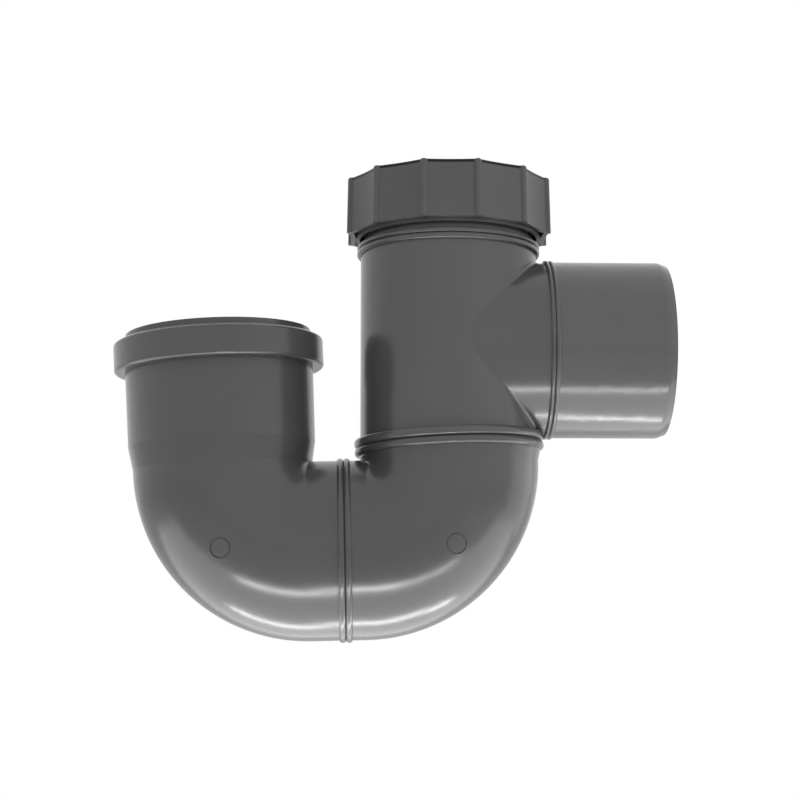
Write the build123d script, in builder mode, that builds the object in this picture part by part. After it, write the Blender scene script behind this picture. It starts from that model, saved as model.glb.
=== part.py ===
from build123d import *
import os
from math import cos, degrees, pi, radians, sin, tan

os.makedirs("parts", exist_ok=True)

# A drain trap for 110 mm pipe: a socketed inlet elbow and an outlet elbow form the water seal,
# a tee above carries a threaded neck with a screwed cleaning cap, and a spigot leads off sideways.
# Lengths are in millimetres and angles in degrees. The origin is the centre of the outlet spigot
# at its bead, where a socket pushed over the spigot stops. +X is the way out, +Z is up, and +Y is
# the far side.

# Pipe section shared by the welded pieces
pipe_radius = 55.0
wall = 3.2
bend_radius = 53.0

# Outlet spigot
spigot_reach = 70.2
spigot_bevel_length = 4.6
spigot_bevel_depth = 1.8
spigot_shoulder_round = 8.0

# Tee: distances from the crossing of its two axes
branch_reach = 61.4
branch_radius = 54.4
saddle_round = 2.0
tee_drop = 60.3
tee_rise = 62.5

# Trap bends, welded under the tee a little out of square, and the lean of that weld itself
trap_lean = 1.2
foot_lean = 2.4
riser_length = 10.5
outlet_run = 12.7
inlet_run = 21.2
inlet_turn = 88.4
mouth_flare = 1.2

# Inlet socket, measured along its own axis from the end of the bend
socket_clearance = 0.3
socket_wall = 2.8
socket_draft = 0.6
taper_start = 0.5
taper_length = 14.0
socket_depth = 69.9
lip_height = 4.0
lip_wall = 2.0
band_height = 19.5
band_stand = 6.7
band_round = 2.0
band_shoulder = 4.0
mouth_chamfer = 1.4

# Rubber ring in the socket's groove
groove_height = 13.0
groove_wall = 3.0
seal_clearance = 0.2
seal_base_height = 7.0
seal_lip_wall = 2.6

# Weld beads: each joint has one ridge on either piece
seam_bead_width = 4.0
seam_bead_height = 1.4
tee_bead_width = 5.8
mouth_bead_width = 5.0
tee_bead_height = 3.6
branch_bead_width = 2.8
branch_bead_height = 1.0
collar_bead_width = 3.9
neck_bead_width = 3.0
collar_bead_height = 2.3
bead_round_share = 0.42

# Threaded neck
neck_bore_radius = 50.0
neck_wall = 3.2
neck_height = 37.6
thread_pitch = 6.0
thread_depth = 2.0
thread_crest_width = 1.2
thread_root_width = 3.2
thread_embed = 0.4
neck_thread_start = 16.5
neck_thread_turns = 2.0

# Cleaning cap and its gasket
gasket_thickness = 3.0
gasket_inset = 0.6
thread_crest_clearance = 0.4
cap_thread_turns = 1.5
cap_ring_wall = 2.3
cap_ring_drop = 1.8
cap_gap = 3.6
cap_plate = 3.2
cap_ribs = 12
cap_rib_angle = -16.6
cap_top_radius = 64.9
cap_bottom_radius = 65.6
cap_face_sag = 1.0
cap_rib_round = 2.2
cap_rib_stand = 1.3
cap_rib_foot_round = 0.4
cap_wall = 2.4
cap_edge_round = 1.6

# Shallow round mould marks on the near side of the elbows
mark_radius = 6.2
mark_width = 0.9
mark_depth = 0.5

# Derived sizes
quarter_turn = degrees(pi / 2)
bore_radius = pipe_radius - wall
socket_radius = pipe_radius + socket_clearance
socket_outer = socket_radius + socket_wall
band_radius = socket_outer + band_stand
neck_radius = neck_bore_radius + neck_wall
neck_thread_crest = neck_radius + thread_depth
cap_ring_bore = neck_thread_crest + thread_crest_clearance
cap_ring_outer = cap_ring_bore + cap_ring_wall
cap_thread_crest = cap_ring_bore - thread_depth

# Places in the part's frame
tee_x = -branch_bead_width - branch_reach
collar_z = tee_rise
rim_z = collar_z + neck_height
cap_under_z = rim_z + gasket_thickness
cap_top_z = cap_under_z + cap_plate
ring_bottom_z = collar_z + neck_bead_width + cap_gap
cap_bottom_z = ring_bottom_z + cap_ring_drop


def side_plane(origin, lean=0.0):
    """Plane whose x is radial and y runs along an upright axis that leans left by lean."""
    across = (cos(radians(lean)), 0, sin(radians(lean)))
    return Plane(origin=origin, x_dir=across, z_dir=(0, -1, 0))


def section_plane(origin, lean=0.0):
    """Plane square to an upright axis that leans left by lean."""
    across = (cos(radians(lean)), 0, sin(radians(lean)))
    along = (-sin(radians(lean)), 0, cos(radians(lean)))
    return Plane(origin=origin, x_dir=across, z_dir=along)


# The bends' centreline lies in a plane of its own, hung from the foot of the tee
tee_foot = Vector(tee_x, 0, -tee_drop)
trap_side = side_plane(tee_foot, trap_lean)
far_way = (0, 1, 0)


def trap_point(across, up):
    """Point of the trap's centre plane, measured from the foot of the tee."""
    return trap_side.from_local_coords(Vector(across, up, 0))


lower_level = -riser_length - bend_radius
seam_across = -bend_radius - outlet_run
inlet_across = seam_across - inlet_run
seam_point = trap_point(seam_across, lower_level)
outlet_centre = trap_point(-bend_radius, -riser_length)
inlet_centre = trap_point(inlet_across, lower_level + bend_radius)
to_inlet = trap_lean + quarter_turn
to_outlet = trap_lean - quarter_turn
leg_lean = to_inlet - inlet_turn
leg_foot = trap_point(
    inlet_across - bend_radius * sin(radians(inlet_turn)),
    lower_level + bend_radius * (1 - cos(radians(inlet_turn))),
)
leg_side = side_plane(leg_foot, leg_lean)
foot_side = side_plane(tee_foot, foot_lean)
foot_plane = section_plane(tee_foot, foot_lean)
foot_slope = 2 * pipe_radius * tan(radians(foot_lean))
collar_side = side_plane((tee_x, 0, collar_z))
branch_side = side_plane((-branch_bead_width, 0, 0), -quarter_turn)


def axis_of(side):
    """The axis that a side plane's y runs along."""
    return Axis(side.origin, side.y_dir)


def ridge(side, crest, base, low, width):
    """Add one rounded ring ridge, standing on a pipe wall, to the part being built."""
    with BuildSketch(side) as profile:
        with Locations((base, low)):
            Rectangle(crest - base, width, align=(Align.MIN, Align.MIN))
        fillet(profile.vertices().group_by(Axis.X)[-1], bead_round_share * width)
    revolve(profile.sketch, axis=axis_of(side))


def straight(plane, radius, length, mode):
    """A round run from a plane, along its normal."""
    with BuildSketch(plane) as disc:
        Circle(radius)
    extrude(disc.sketch, amount=length, mode=mode)


def bend(plane, centre, turn, radius, mode):
    """Turn a round section about a bend's centre, without what lies past that centre."""
    past = plane.to_local_coords(centre).X
    outward = Align.MIN if past > 0 else Align.MAX
    with BuildSketch(plane) as disc:
        Circle(radius)
        with Locations((past, 0)):
            Rectangle(2 * radius, 2 * radius, align=(outward, Align.CENTER), mode=Mode.SUBTRACT)
    revolve(disc.sketch, axis=Axis(centre, far_way), revolution_arc=turn, mode=mode)


def turned(side, points, mode):
    """Turn an outline of straight runs, given as radius and height, about a side plane's axis."""
    with BuildSketch(side) as profile:
        with BuildLine():
            Polyline(*points, close=True)
        make_face()
    revolve(profile.sketch, axis=axis_of(side), mode=mode)


def mould_mark(plane, centre, turn, corner):
    """Cut a shallow ring into the near side of a bend, over the crossing of its two axes."""
    with BuildPart() as mark:
        bend(plane, centre, turn, pipe_radius + mark_width, Mode.ADD)
        bend(plane, centre, turn, pipe_radius - mark_depth, Mode.SUBTRACT)
        with BuildSketch(Plane(origin=corner, x_dir=(1, 0, 0), z_dir=(0, -1, 0))):
            Circle(mark_radius)
            Circle(mark_radius - mark_width, mode=Mode.SUBTRACT)
        extrude(amount=pipe_radius + mark_width, mode=Mode.INTERSECT)
    add(mark.part, mode=Mode.SUBTRACT)


def thread(start_z, root, crest, turns):
    """One helical ridge of trapezoid section about the tee's axis, standing on the wall at root."""
    outward = 1 if crest > root else -1
    buried = root - outward * thread_embed
    reach = abs(crest - buried)
    spread = thread_embed * (thread_root_width - thread_crest_width) / (2 * thread_depth)
    root_half = thread_root_width / 2 + spread
    crest_half = thread_crest_width / 2
    with BuildPart() as turn_ridge:
        with BuildLine(Plane(origin=(tee_x, 0, start_z))) as path:
            Helix(pitch=thread_pitch, height=thread_pitch * turns, radius=buried)
        with BuildSketch(Plane(origin=path.line @ 0, x_dir=(outward, 0, 0), z_dir=path.line % 0)):
            with BuildLine():
                Polyline(
                    (0, -root_half),
                    (reach, -crest_half),
                    (reach, crest_half),
                    (0, root_half),
                    close=True,
                )
            make_face()
        sweep(path=path.line, is_frenet=True)
    return turn_ridge.part


# Inlet elbow: a bend that ends in a socket, with half of the seam's bead
inlet_start = section_plane(trap_point(inlet_across, lower_level), to_inlet)
inlet_corner = trap_point(inlet_across - bend_radius * tan(radians(inlet_turn / 2)), lower_level)
seam_crest = pipe_radius + seam_bead_height
socket_floor = taper_start + taper_length
mouth = socket_floor + socket_depth
lip_outer = socket_radius + lip_wall
band_top = mouth - lip_height
band_foot = band_top - band_height
groove_radius = band_radius - groove_wall
groove_foot = band_foot + groove_wall
groove_top = groove_foot + groove_height

with BuildPart() as inlet_elbow:
    straight(section_plane(seam_point, to_inlet), pipe_radius, inlet_run, Mode.ADD)
    bend(inlet_start, inlet_centre, inlet_turn, pipe_radius, Mode.ADD)
    with BuildSketch(leg_side):
        with BuildLine():
            Polyline(
                (0, 0),
                (pipe_radius, 0),
                (pipe_radius, taper_start),
                (socket_outer - socket_draft, socket_floor),
                (socket_outer, band_foot),
                (band_radius, band_foot),
                (band_radius, band_top - band_shoulder / 2),
                (band_radius - band_shoulder, band_top),
                (lip_outer, band_top),
                (lip_outer, mouth),
                (0, mouth),
                close=True,
            )
        make_face()
        fillet(vertices().group_by(Axis.X)[-1], band_round)
    revolve(axis=axis_of(leg_side))
    ridge(side_plane(seam_point, to_inlet), seam_crest, bore_radius, 0, seam_bead_width)
    mould_mark(inlet_start, inlet_centre, inlet_turn, inlet_corner)
    straight(section_plane(seam_point, to_inlet), bore_radius, inlet_run, Mode.SUBTRACT)
    bend(inlet_start, inlet_centre, inlet_turn, bore_radius, Mode.SUBTRACT)
    socket_bore = [
        (0, 0),
        (bore_radius, 0),
        (bore_radius, taper_start),
        (socket_radius, socket_floor),
        (socket_radius, groove_foot),
        (groove_radius, groove_foot),
        (groove_radius, groove_top),
        (socket_radius, groove_top),
        (socket_radius, mouth - mouth_chamfer),
        (socket_radius + mouth_chamfer, mouth),
        (0, mouth),
    ]
    turned(leg_side, socket_bore, Mode.SUBTRACT)

inlet_elbow.part.label = "inlet_elbow"
export_step(inlet_elbow.part, "parts/inlet_elbow.step")

# Rubber ring: a base that fills the groove and a lip that leans in to the bore
seal_outer = groove_radius - seal_clearance
seal_top = groove_top - seal_clearance
seal_base_top = groove_foot + seal_base_height

with BuildPart() as socket_seal:
    seal_section = [
        (socket_radius + seal_lip_wall, groove_foot),
        (seal_outer, groove_foot),
        (seal_outer, seal_base_top),
        (socket_radius + seal_lip_wall, seal_base_top),
        (socket_radius + seal_lip_wall, seal_top),
        (socket_radius, seal_top),
        (socket_radius, groove_foot + seal_lip_wall),
    ]
    turned(leg_side, seal_section, Mode.ADD)

socket_seal.part.label = "socket_seal"
export_step(socket_seal.part, "parts/socket_seal.step")

# Outlet elbow: a bend whose upper mouth flares a little to the tee's bead
outlet_start = section_plane(trap_point(0, -riser_length), trap_lean)
tee_crest = pipe_radius + tee_bead_height

with BuildPart() as outlet_elbow:
    straight(section_plane(seam_point, to_outlet), pipe_radius, outlet_run, Mode.ADD)
    bend(outlet_start, outlet_centre, quarter_turn, pipe_radius, Mode.ADD)
    flared_riser = [
        (0, -riser_length),
        (pipe_radius, -riser_length),
        (pipe_radius + mouth_flare, -mouth_bead_width),
        (pipe_radius + mouth_flare, foot_slope),
        (0, foot_slope),
    ]
    turned(trap_side, flared_riser, Mode.ADD)
    split(bisect_by=foot_plane, keep=Keep.BOTTOM)
    ridge(side_plane(seam_point, to_outlet), seam_crest, bore_radius, 0, seam_bead_width)
    ridge(foot_side, tee_crest, bore_radius, -mouth_bead_width, mouth_bead_width)
    mould_mark(outlet_start, outlet_centre, quarter_turn, trap_point(0, lower_level))
    straight(section_plane(seam_point, to_outlet), bore_radius, outlet_run, Mode.SUBTRACT)
    bend(outlet_start, outlet_centre, quarter_turn, bore_radius, Mode.SUBTRACT)
    straight(outlet_start, bore_radius, riser_length + foot_slope, Mode.SUBTRACT)

outlet_elbow.part.label = "outlet_elbow"
export_step(outlet_elbow.part, "parts/outlet_elbow.step")

# Tee body: an upright barrel and a side branch, blended where they meet
barrel_start = section_plane((tee_x, 0, -tee_drop - foot_slope))
barrel_length = tee_drop + foot_slope + tee_rise
branch_start = section_plane((tee_x, 0, 0), -quarter_turn)
branch_bore = branch_radius - wall
collar_crest = pipe_radius + collar_bead_height
branch_crest = pipe_radius + branch_bead_height

with BuildPart() as tee_body:
    straight(barrel_start, pipe_radius, barrel_length, Mode.ADD)
    straight(branch_start, branch_radius, branch_reach, Mode.ADD)
    saddle = edges().filter_by(GeomType.CIRCLE, reverse=True).filter_by(GeomType.LINE, reverse=True)
    fillet(saddle, saddle_round)
    split(bisect_by=foot_plane, keep=Keep.TOP)
    ridge(foot_side, tee_crest, bore_radius, 0, tee_bead_width)
    ridge(collar_side, collar_crest, bore_radius, -collar_bead_width, collar_bead_width)
    ridge(branch_side, branch_crest, branch_bore, -branch_bead_width, branch_bead_width)
    straight(barrel_start, bore_radius, barrel_length, Mode.SUBTRACT)
    straight(branch_start, branch_bore, branch_reach, Mode.SUBTRACT)

tee_body.part.label = "tee_body"
export_step(tee_body.part, "parts/tee_body.step")

# Outlet spigot: a plain pipe end with a rounded bevel that leads it into a socket
spigot_end = branch_bead_width + spigot_reach

with BuildPart() as outlet_spigot:
    with BuildSketch(branch_side):
        with BuildLine():
            Polyline(
                (bore_radius, 0),
                (pipe_radius, 0),
                (pipe_radius, spigot_end - spigot_bevel_length),
                (pipe_radius - spigot_bevel_depth, spigot_end),
                (bore_radius, spigot_end),
                close=True,
            )
        make_face()
        fillet(vertices().group_by(Axis.Y)[1], spigot_shoulder_round)
    revolve(axis=axis_of(branch_side))
    ridge(branch_side, branch_crest, bore_radius, 0, branch_bead_width)

outlet_spigot.part.label = "outlet_spigot"
export_step(outlet_spigot.part, "parts/outlet_spigot.step")

# Threaded neck: welded on the tee's collar
with BuildPart() as threaded_neck:
    neck_section = [
        (neck_bore_radius, 0),
        (neck_radius, 0),
        (neck_radius, neck_height),
        (neck_bore_radius, neck_height),
    ]
    turned(collar_side, neck_section, Mode.ADD)
    ridge(collar_side, collar_crest, neck_bore_radius, 0, neck_bead_width)
    add(thread(collar_z + neck_thread_start, neck_radius, neck_thread_crest, neck_thread_turns))

threaded_neck.part.label = "threaded_neck"
export_step(threaded_neck.part, "parts/threaded_neck.step")

# Gasket: a flat ring between the neck's rim and the cap
with BuildPart() as cap_gasket:
    gasket_section = [
        (neck_bore_radius + gasket_inset, neck_height),
        (cap_ring_bore - gasket_inset, neck_height),
        (cap_ring_bore - gasket_inset, neck_height + gasket_thickness),
        (neck_bore_radius + gasket_inset, neck_height + gasket_thickness),
    ]
    turned(collar_side, gasket_section, Mode.ADD)

cap_gasket.part.label = "cap_gasket"
export_step(cap_gasket.part, "parts/cap_gasket.step")


def grip_outline(crest_radius, level, ribbed):
    """Outline of the cap's grip at one level: hollow faces, with or without the ribs between."""
    rib_step = 4 * quarter_turn / cap_ribs
    first_rib = cap_rib_angle - quarter_turn
    corner_radius = crest_radius - cap_rib_stand
    face_radius = corner_radius * cos(radians(rib_step / 2)) - cap_face_sag
    corner = Vector(corner_radius, 0)
    face = Vector(face_radius, 0)
    with BuildSketch(section_plane((tee_x, 0, level))) as outline:
        with BuildLine():
            for rib in range(cap_ribs):
                angle = first_rib + rib * rib_step
                ThreePointArc(
                    corner.rotate(Axis.Z, angle),
                    face.rotate(Axis.Z, angle + rib_step / 2),
                    corner.rotate(Axis.Z, angle + rib_step),
                )
        make_face()
        if ribbed:
            with PolarLocations(crest_radius - cap_rib_round, cap_ribs, start_angle=first_rib):
                Circle(cap_rib_round)
            fillet(outline.vertices(), cap_rib_foot_round)
    return outline.sketch


# Cleaning cap: a plate with a threaded ring inside a lobed grip, hollow between the two
ring_height = cap_under_z - ring_bottom_z

with BuildPart() as cleaning_cap:
    grip_foot = grip_outline(cap_bottom_radius, cap_bottom_z, True)
    grip_top = grip_outline(cap_top_radius, cap_top_z, True)
    loft([grip_foot, grip_top], ruled=True)
    fillet(edges().group_by(Axis.Z)[-1], cap_edge_round)
    hollow = grip_outline(cap_top_radius - cap_wall, cap_bottom_z, False)
    extrude(hollow, amount=cap_under_z - cap_bottom_z, mode=Mode.SUBTRACT)
    ring_start = section_plane((tee_x, 0, ring_bottom_z))
    straight(ring_start, cap_ring_outer, ring_height, Mode.ADD)
    straight(ring_start, cap_ring_bore, ring_height, Mode.SUBTRACT)
    thread_start = collar_z + neck_thread_start + thread_pitch / 2
    add(thread(thread_start, cap_ring_bore, cap_thread_crest, cap_thread_turns))

cleaning_cap.part.label = "cleaning_cap"
export_step(cleaning_cap.part, "parts/cleaning_cap.step")
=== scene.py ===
from math import pi, radians

import bpy
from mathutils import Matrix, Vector


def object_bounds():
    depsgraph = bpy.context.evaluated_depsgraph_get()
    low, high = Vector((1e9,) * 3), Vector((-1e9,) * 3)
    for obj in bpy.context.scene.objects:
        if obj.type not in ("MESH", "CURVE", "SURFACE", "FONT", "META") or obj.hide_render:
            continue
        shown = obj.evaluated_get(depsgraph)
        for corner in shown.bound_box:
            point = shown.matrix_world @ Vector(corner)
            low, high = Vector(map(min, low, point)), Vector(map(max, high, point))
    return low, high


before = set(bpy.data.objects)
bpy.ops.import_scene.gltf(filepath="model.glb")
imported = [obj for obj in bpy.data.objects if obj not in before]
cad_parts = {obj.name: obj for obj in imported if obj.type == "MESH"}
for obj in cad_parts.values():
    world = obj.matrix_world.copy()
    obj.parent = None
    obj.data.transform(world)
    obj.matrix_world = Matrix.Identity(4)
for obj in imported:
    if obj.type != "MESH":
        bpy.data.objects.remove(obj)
cad_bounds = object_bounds()

# The photograph is square. Its camera stands just below the part's foot and a little left of its
# middle, and looks up
PHOTO_PIXELS = 800
SENSOR_WIDTH = 36.0
FOCAL_PIXELS = 1769.4
CAMERA_PLACE = Vector((-0.1289, -1.0894, -0.1883))
CAMERA_PITCH = radians(8.174)
CAMERA_YAW = radians(1.807)

# The trap hangs on its spigot, so the floor lies clear below it
FLOOR_DROP = 0.30
FLOOR_SIZE = 16.0
FLOOR_GREY = (0.86, 0.86, 0.86)
FLOOR_ROUGHNESS = 0.9
FLOOR_SPECULAR = 0.2

# How much of the floor is lifted to white: a share up to the near distance and all of it from the
# far one for the camera, and one share for mirror rays
FLOOR_NEAR = 0.7
FLOOR_FAR = 2.6
FLOOR_LIFT = 0.45
FLOOR_MIRRORED = 0.5

# Plain level of the world's light, then the place, size and power in watts of each lamp
WORLD_LEVEL = 0.48
KEY_PLACE = (-1.2, -1.9, 1.5)
KEY_SIZE = (2.6, 2.0)
KEY_POWER = 18.0
FILL_PLACE = (1.2, -0.9, 0.5)
FILL_SIZE = (1.4, 1.4)
FILL_POWER = 11.0
PANEL_PLACE = (1.1, 0.35, -0.14)
PANEL_SIZE = (1.0, 0.7)
PANEL_POWER = 2.0

# The light table is in two parts, of which only the near one mirrors in the plastic
TABLE_LIFT = 0.01
TABLE_NEAR_BACK = 0.08
TABLE_NEAR_SIZE = (2.4, 0.74)
TABLE_NEAR_POWER = 11.4
TABLE_FAR_BACK = 0.825
TABLE_FAR_SIZE = (2.4, 0.75)
TABLE_FAR_POWER = 11.6

# Bright edges of the table: left end, right end, place back from the part, slant, brightness
STREAK_LIFT = 0.02
STREAK_WIDTH = 0.032
STREAKS = {
    "front_left_streak": (-0.41, -0.135, -0.235, 0.0, 24.0),
    "front_middle_streak": (-0.135, 0.02, -0.28, 0.0, 32.0),
    "front_right_streak": (0.02, 0.30, -0.28, 0.0, 17.0),
    "rear_left_streak": (-0.38, -0.135, 0.115, 0.0, 18.0),
    "rear_middle_streak": (-0.135, 0.055, 0.075, 0.0, 19.0),
    "rear_right_streak": (0.055, 0.165, 0.118, 19.0, 21.0),
}

# Greys of the plastic and blacks of the rubber, as linear colours
ELBOW_GREY = (0.058, 0.059, 0.061)
ELBOW_GREY_LIGHT = (0.064, 0.065, 0.067)
PIPE_GREY = (0.067, 0.067, 0.068)
PIPE_GREY_LIGHT = (0.073, 0.073, 0.074)
SPIGOT_GREY = (0.076, 0.076, 0.077)
SPIGOT_GREY_LIGHT = (0.083, 0.083, 0.084)
CAP_GREY = (0.084, 0.084, 0.085)
CAP_GREY_LIGHT = (0.092, 0.092, 0.093)
# Painted shade: the black of the dark line along the cap's top edge
TOP_EDGE_SHADE_BLACK = (0.004, 0.004, 0.004)
RUBBER_BLACK = (0.016, 0.016, 0.017)
RUBBER_WORN = (0.026, 0.026, 0.027)

# Finish of the plastics: smoothest and roughest gloss, ripple, wave and specular level
MOULDED_FINISH = (0.18, 0.25, 0.25, 0.0, 0.5)
DRAWN_FINISH = (0.17, 0.24, 0.25, 0.9, 0.5)
CAP_FINISH = (0.3, 0.38, 0.15, 0.0, 0.2)
PLASTIC_IOR = 1.5
MATT_SMOOTH = 0.62
MATT_ROUGH = 0.75

# Each noise: how often it repeats in a metre, its detail and its roughness
CLOUD_NOISE = (14.0, 4.0, 0.5)
GLOSS_NOISE = (240.0, 5.0, 0.6)
RIPPLE_NOISE = (22.0, 2.0, 0.5)
WAVE_NOISE = (95.0, 1.0, 0.5)
GRAIN_NOISE = (1600.0, 2.0, 0.5)
BLOOM_NOISE = (90.0, 4.0, 0.5)
MATT_NOISE = (300.0, 3.0, 0.5)
SKIN_NOISE = (2200.0, 2.0, 0.5)

# The part of a noise that its colours or its gloss spread over
CLOUD_SPREAD = (0.35, 0.65)
GLOSS_SPREAD = (0.3, 0.7)
BLOOM_SPREAD = (0.4, 0.7)
MATT_SPREAD = (0.3, 0.7)

# Heights of the bumps in metres, and the strength of those that are the same on every piece
RIPPLE_HEIGHT = 0.0006
WAVE_HEIGHT = 0.0002
GRAIN_HEIGHT = 0.00003
GRAIN_STRENGTH = 0.35
SKIN_HEIGHT = 0.00004
SKIN_STRENGTH = 0.5

# Sockets of the colour mixing node, which have the same names as others on it
MIX_FIRST = 6
MIX_SECOND = 7
MIX_RESULT = 2

# Painted shade along the cap's top edge, a dark line: how far down it reaches, how flat a face
# it leaves plain, and where the ribs begin
TOP_EDGE_HEIGHT = 0.0026
TOP_EDGE_FULL = 0.0019
TOP_FACE_UPRIGHT = 0.8
TOP_FACE_FLAT = 0.97
RIB_FOOT = 0.0626
RIB_FLANK = 0.0631


def rgba(colour):
    return (*colour, 1.0)


def new_material(name):
    """A node material with its tree and its Principled shader."""
    material = bpy.data.materials.new(name)
    material.use_nodes = True
    tree = material.node_tree
    return material, tree, tree.nodes["Principled BSDF"]


def noise(tree, scale, detail, roughness):
    """Noise in the part's own metres, so that it has one scale on every piece."""
    where = tree.nodes.new("ShaderNodeTexCoord")
    texture = tree.nodes.new("ShaderNodeTexNoise")
    texture.inputs["Scale"].default_value = scale
    texture.inputs["Detail"].default_value = detail
    texture.inputs["Roughness"].default_value = roughness
    tree.links.new(where.outputs["Object"], texture.inputs["Vector"])
    return texture.outputs["Fac"]


def ramp(tree, source, low, high, low_value, high_value):
    """Map a value between two limits to another range."""
    node = tree.nodes.new("ShaderNodeMapRange")
    node.inputs["From Min"].default_value = low
    node.inputs["From Max"].default_value = high
    node.inputs["To Min"].default_value = low_value
    node.inputs["To Max"].default_value = high_value
    tree.links.new(source, node.inputs["Value"])
    return node.outputs["Result"]


def colour_mix(tree, source, second):
    """A node that goes to its second colour as the source rises. Its first is set by the caller."""
    node = tree.nodes.new("ShaderNodeMix")
    node.data_type = "RGBA"
    node.inputs[MIX_SECOND].default_value = rgba(second)
    tree.links.new(source, node.inputs["Factor"])
    return node


def blend_colours(tree, source, first, second):
    node = colour_mix(tree, source, second)
    node.inputs[MIX_FIRST].default_value = rgba(first)
    return node.outputs[MIX_RESULT]


def combine(tree, operation, *sources):
    """Work one value out of two or three others."""
    node = tree.nodes.new("ShaderNodeMath")
    node.operation = operation
    for place, source in enumerate(sources):
        tree.links.new(source, node.inputs[place])
    return node.outputs["Value"]


def bump(tree, source, distance, strength, below=None):
    node = tree.nodes.new("ShaderNodeBump")
    node.inputs["Distance"].default_value = distance
    node.inputs["Strength"].default_value = strength
    tree.links.new(source, node.inputs["Height"])
    if below is not None:
        tree.links.new(below, node.inputs["Normal"])
    return node.outputs["Normal"]


def plastic(name, dark, light, smooth, rough, ripple, wave, specular):
    """Grey PVC: cloudy colour, uneven gloss, slow ripples, waves if it has any, and a fine grain."""
    material, tree, shader = new_material(name)
    cloud = ramp(tree, noise(tree, *CLOUD_NOISE), *CLOUD_SPREAD, 0.0, 1.0)
    tree.links.new(blend_colours(tree, cloud, dark, light), shader.inputs["Base Color"])
    gloss = ramp(tree, noise(tree, *GLOSS_NOISE), *GLOSS_SPREAD, smooth, rough)
    tree.links.new(gloss, shader.inputs["Roughness"])
    slow = bump(tree, noise(tree, *RIPPLE_NOISE), RIPPLE_HEIGHT, ripple)
    if wave > 0.0:
        slow = bump(tree, noise(tree, *WAVE_NOISE), WAVE_HEIGHT, wave, slow)
    grain = bump(tree, noise(tree, *GRAIN_NOISE), GRAIN_HEIGHT, GRAIN_STRENGTH, slow)
    tree.links.new(grain, shader.inputs["Normal"])
    shader.inputs["IOR"].default_value = PLASTIC_IOR
    shader.inputs["Specular IOR Level"].default_value = specular
    return material


def paint_top_edge_shade(material, mesh):
    """Paint shade on the rounded top edge of a cap as a dark tint, but not on its ribs or its flat top.
    """
    tree = material.node_tree
    colour = tree.nodes["Principled BSDF"].inputs["Base Color"]
    across = [vertex.co.x for vertex in mesh.vertices]
    top = max(vertex.co.z for vertex in mesh.vertices)
    where = tree.nodes.new("ShaderNodeTexCoord")
    place = tree.nodes.new("ShaderNodeSeparateXYZ")
    tree.links.new(where.outputs["Object"], place.inputs["Vector"])
    facing = tree.nodes.new("ShaderNodeSeparateXYZ")
    tree.links.new(where.outputs["Normal"], facing.inputs["Vector"])
    flat = tree.nodes.new("ShaderNodeMapping")
    flat.inputs["Scale"].default_value = (1.0, 1.0, 0.0)
    tree.links.new(where.outputs["Object"], flat.inputs["Vector"])
    radius = tree.nodes.new("ShaderNodeVectorMath")
    radius.operation = "DISTANCE"
    radius.inputs[1].default_value = ((min(across) + max(across)) / 2, 0.0, 0.0)
    tree.links.new(flat.outputs["Vector"], radius.inputs[0])
    high = ramp(tree, place.outputs["Z"], top - TOP_EDGE_HEIGHT, top - TOP_EDGE_FULL, 0.0, 1.0)
    upright = ramp(tree, facing.outputs["Z"], TOP_FACE_UPRIGHT, TOP_FACE_FLAT, 1.0, 0.0)
    hollow = ramp(tree, radius.outputs["Value"], RIB_FOOT, RIB_FLANK, 1.0, 0.0)
    shade = combine(tree, "MULTIPLY", combine(tree, "MULTIPLY", high, upright), hollow)
    node = colour_mix(tree, shade, TOP_EDGE_SHADE_BLACK)
    tree.links.new(colour.links[0].from_socket, node.inputs[MIX_FIRST])
    tree.links.new(node.outputs[MIX_RESULT], colour)


def rubber(name):
    """Matt black rubber with a faint grey bloom."""
    material, tree, shader = new_material(name)
    bloom = ramp(tree, noise(tree, *BLOOM_NOISE), *BLOOM_SPREAD, 0.0, 1.0)
    tree.links.new(blend_colours(tree, bloom, RUBBER_BLACK, RUBBER_WORN), shader.inputs["Base Color"])
    matt = ramp(tree, noise(tree, *MATT_NOISE), *MATT_SPREAD, MATT_SMOOTH, MATT_ROUGH)
    tree.links.new(matt, shader.inputs["Roughness"])
    skin = bump(tree, noise(tree, *SKIN_NOISE), SKIN_HEIGHT, SKIN_STRENGTH)
    tree.links.new(skin, shader.inputs["Normal"])
    return material


def dress(node, material):
    """Give a CAD node its material, in place of the plain one that it came with."""
    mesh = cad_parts[node].data
    mesh.materials.clear()
    mesh.materials.append(material)


def make_camera():
    camera = bpy.data.cameras.new("camera")
    camera.sensor_width = SENSOR_WIDTH
    camera.lens = FOCAL_PIXELS * SENSOR_WIDTH / PHOTO_PIXELS
    holder = bpy.data.objects.new("camera", camera)
    bpy.context.scene.collection.objects.link(holder)
    holder.location = CAMERA_PLACE
    holder.rotation_euler = (radians(90.0) + CAMERA_PITCH, 0.0, -CAMERA_YAW)
    bpy.context.scene.camera = holder


def soft_box(name, place, aim, size, power):
    """A rectangular area lamp, hidden from the camera, that points at aim."""
    lamp = bpy.data.lights.new(name, "AREA")
    lamp.shape = "RECTANGLE"
    lamp.size, lamp.size_y = size
    lamp.energy = power
    holder = bpy.data.objects.new(name, lamp)
    bpy.context.scene.collection.objects.link(holder)
    holder.location = place
    holder.rotation_euler = (Vector(aim) - Vector(place)).to_track_quat("-Z", "Y").to_euler()
    holder.visible_camera = False
    return holder


def upward_box(name, across, back, height, size, power):
    """A soft box that lies flat and points straight up."""
    return soft_box(name, (across, back, height), (across, back, height + 1.0), size, power)


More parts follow.
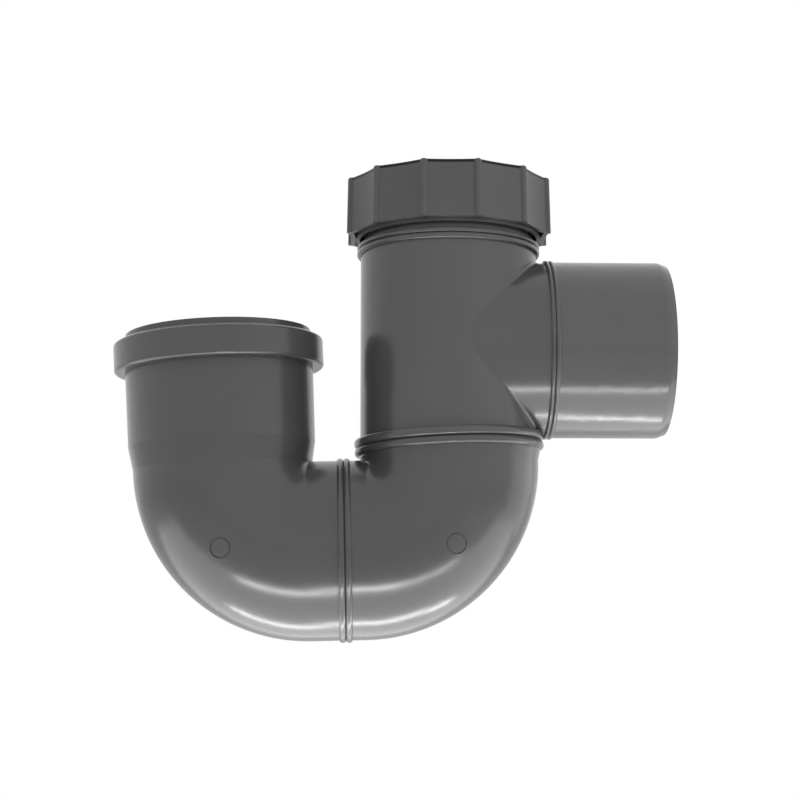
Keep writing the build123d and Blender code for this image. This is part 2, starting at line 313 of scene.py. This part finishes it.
def make_world():
    """White for camera, mirror and see-through rays, and a plain level of soft light for the rest."""
    world = bpy.data.worlds.new("studio")
    world.use_nodes = True
    bpy.context.scene.world = world
    tree = world.node_tree
    background = tree.nodes["Background"]
    background.inputs["Color"].default_value = (1.0, 1.0, 1.0, 1.0)
    path = tree.nodes.new("ShaderNodeLightPath")
    seen = combine(tree, "MAXIMUM", path.outputs["Is Camera Ray"], path.outputs["Is Glossy Ray"])
    white = combine(tree, "MAXIMUM", seen, path.outputs["Is Transmission Ray"])
    level = ramp(tree, white, 0.0, 1.0, WORLD_LEVEL, 1.0)
    tree.links.new(level, background.inputs["Strength"])


def make_floor(height, middle):
    """A plain pale floor. Camera and mirror rays see it lifted towards white."""
    mesh = bpy.data.meshes.new("floor")
    half = FLOOR_SIZE / 2
    corners = [(-half, -half, height), (half, -half, height), (half, half, height), (-half, half, height)]
    mesh.from_pydata(corners, [], [(0, 1, 2, 3)])
    floor = bpy.data.objects.new("floor", mesh)
    bpy.context.scene.collection.objects.link(floor)
    material, tree, shader = new_material("floor_white")
    shader.inputs["Base Color"].default_value = rgba(FLOOR_GREY)
    shader.inputs["Roughness"].default_value = FLOOR_ROUGHNESS
    shader.inputs["Specular IOR Level"].default_value = FLOOR_SPECULAR
    where = tree.nodes.new("ShaderNodeTexCoord")
    distance = tree.nodes.new("ShaderNodeVectorMath")
    distance.operation = "DISTANCE"
    distance.inputs[1].default_value = (middle.x, middle.y, height)
    tree.links.new(where.outputs["Object"], distance.inputs[0])
    lift = ramp(tree, distance.outputs["Value"], FLOOR_NEAR, FLOOR_FAR, FLOOR_LIFT, 1.0)
    path = tree.nodes.new("ShaderNodeLightPath")
    mirrored = ramp(tree, path.outputs["Is Glossy Ray"], 0.0, 1.0, 0.0, FLOOR_MIRRORED)
    share = combine(tree, "MULTIPLY_ADD", lift, path.outputs["Is Camera Ray"], mirrored)
    white = tree.nodes.new("ShaderNodeEmission")
    mixed = tree.nodes.new("ShaderNodeMixShader")
    tree.links.new(share, mixed.inputs["Fac"])
    tree.links.new(shader.outputs["BSDF"], mixed.inputs[1])
    tree.links.new(white.outputs["Emission"], mixed.inputs[2])
    tree.links.new(mixed.outputs["Shader"], tree.nodes["Material Output"].inputs["Surface"])
    mesh.materials.append(material)


def make_lamps(middle, floor_height):
    """Two soft boxes above, a panel at the right, and a light table with bright edges for the streaks."""
    key = soft_box("key", KEY_PLACE, middle, KEY_SIZE, KEY_POWER)
    fill = soft_box("fill", FILL_PLACE, middle, FILL_SIZE, FILL_POWER)
    panel = soft_box("panel", PANEL_PLACE, middle, PANEL_SIZE, PANEL_POWER)
    height = floor_height + TABLE_LIFT
    upward_box("table_near", middle.x, TABLE_NEAR_BACK, height, TABLE_NEAR_SIZE, TABLE_NEAR_POWER)
    far = upward_box("table_far", middle.x, TABLE_FAR_BACK, height, TABLE_FAR_SIZE, TABLE_FAR_POWER)
    for lamp in (key, fill, far):
        lamp.visible_glossy = False
    panel.visible_diffuse = False
    height = floor_height + STREAK_LIFT
    for name, (left, right, back, slant, brightness) in STREAKS.items():
        width = right - left
        power = brightness * pi * width * STREAK_WIDTH
        strip = upward_box(name, (left + right) / 2, back, height, (width, STREAK_WIDTH), power)
        strip.rotation_euler.z += radians(slant)
        strip.visible_diffuse = False


low, high = Vector(cad_bounds[0]), Vector(cad_bounds[1])
middle = (low + high) / 2
floor_height = low.z - FLOOR_DROP

make_camera()
make_world()
make_floor(floor_height, middle)
make_lamps(middle, floor_height)

elbow_plastic = plastic("elbow_plastic", ELBOW_GREY, ELBOW_GREY_LIGHT, *MOULDED_FINISH)
pipe_plastic = plastic("pipe_plastic", PIPE_GREY, PIPE_GREY_LIGHT, *MOULDED_FINISH)
drawn_plastic = plastic("drawn_plastic", SPIGOT_GREY, SPIGOT_GREY_LIGHT, *DRAWN_FINISH)
cap_plastic = plastic("cap_plastic", CAP_GREY, CAP_GREY_LIGHT, *CAP_FINISH)
# Painted shade: a dark line along the cap's top edge, between its ribs
paint_top_edge_shade(cap_plastic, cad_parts["cleaning_cap"].data)
seal_rubber = rubber("seal_rubber")

for elbow_node in ("inlet_elbow", "outlet_elbow"):
    dress(elbow_node, elbow_plastic)
for pipe_node in ("tee_body", "threaded_neck"):
    dress(pipe_node, pipe_plastic)
dress("outlet_spigot", drawn_plastic)
dress("cleaning_cap", cap_plastic)
for rubber_node in ("socket_seal", "cap_gasket"):
    dress(rubber_node, seal_rubber)

bpy.context.scene.view_settings.view_transform = "Standard"
